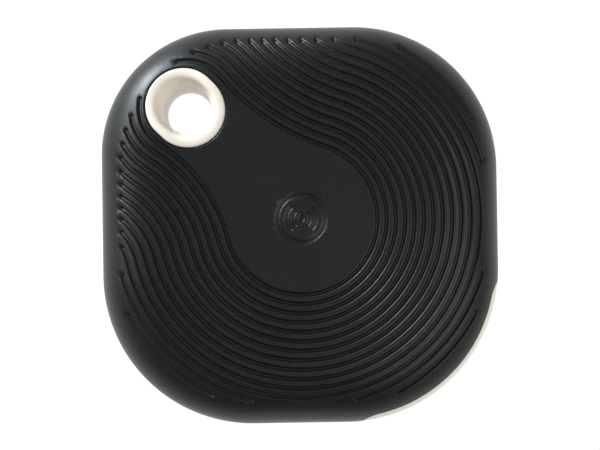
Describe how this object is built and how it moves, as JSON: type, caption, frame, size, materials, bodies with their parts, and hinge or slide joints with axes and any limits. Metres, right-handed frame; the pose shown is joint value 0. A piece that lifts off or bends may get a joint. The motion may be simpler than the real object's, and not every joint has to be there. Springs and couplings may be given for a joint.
{
  "type": "bluetooth tracker tag",
  "caption": "Pebble-shaped wireless tracker tag: soft black front with wavy grooves and a press point, ivory back shell, and a lined eyelet through one corner for a key ring.",
  "frame": {"origin": "centre of the back face's bounding box, on the plane of the back face", "axes": "+Z out of the front face, +Y towards the edge that the picture shows at the top, +X to the right seen from the front; the eyelet is in the corner at -X +Y"},
  "size_m": [0.04, 0.04, 0.012],
  "materials": {
    "ivory_shell": "satin, fine moulded grain",
    "soft_black": "matte soft-touch",
    "black_cover": "matte, fine spark texture",
    "plunger_plastic": "satin",
    "gasket_rubber": "satin silicone",
    "foam": "closed-cell foam",
    "cell_steel": "nickel plated, brushed",
    "cell_cap_steel": "nickel plated, fine radial grain",
    "seal_plastic": "smooth",
    "board_green": "solder mask over glass fibre",
    "screw_steel": "zinc plated",
    "switch_plastic": "moulded",
    "sheet_steel": "bright rolled",
    "stem_plastic": "moulded",
    "chip_resin": "moulded epoxy",
    "shield_tin": "tinned sheet",
    "ceramic_white": "fired ceramic",
    "capacitor_tan": "fired ceramic with tinned ends",
    "resistor_black": "glass-coated film",
    "buzzer_black": "moulded",
    "brass_plate": "rolled",
    "copper_coil": "enamelled wire",
    "gold_spring": "gold plated"
  },
  "bodies": {
    "back_half": {"back_shell": "ivory_shell", "eyelet": "ivory_shell", "rim_gasket": "gasket_rubber", "cell_pad": "foam"},
    "cell": {"cell_can": "cell_steel", "cell_seal": "seal_plastic", "cell_cap": "cell_cap_steel"},
    "front_half": {"front_skin": "soft_black", "front_cover": "black_cover", "circuit_board": "board_green", "board_screws": "screw_steel", "switch_base": "switch_plastic", "switch_frame": "sheet_steel", "switch_dome": "sheet_steel", "radio_chip": "chip_resin", "radio_shield": "shield_tin", "crystal": "shield_tin", "chip_antenna": "ceramic_white", "capacitors": "capacitor_tan", "resistors": "resistor_black", "buzzer_case": "buzzer_black", "buzzer_plate": "brass_plate", "buzzer_coil": "copper_coil", "negative_contact": "gold_spring", "positive_contact": "gold_spring"},
    "button": {"press_pad": "soft_black", "button_plunger": "plunger_plastic"},
    "switch_plunger": {"switch_stem": "stem_plastic"}
  },
  "joints": [
    {"name": "front_lift", "type": "slide", "parent": "back_half", "child": "front_half", "axis": [0, 0, 1], "range_m": [0, 0.024]},
    {"name": "cell_lift", "type": "slide", "parent": "back_half", "child": "cell", "axis": [0, 0, 1], "range_m": [0, 0.012]},
    {"name": "button_press", "type": "slide", "parent": "front_half", "child": "button", "axis": [0, 0, -1], "range_m": [0, 0.0003], "stiffness_N_per_m": 3000},
    {"name": "switch_press", "type": "slide", "parent": "front_half", "child": "switch_plunger", "axis": [0, 0, -1], "range_m": [0, 0.0003], "deforming": ["switch_dome"]}
  ],
  "couplings": [
    {"joint": "cell_lift", "follows": "front_lift", "ratio": 0.5},
    {"joint": "switch_press", "follows": "button_press", "ratio": 1}
  ]
}
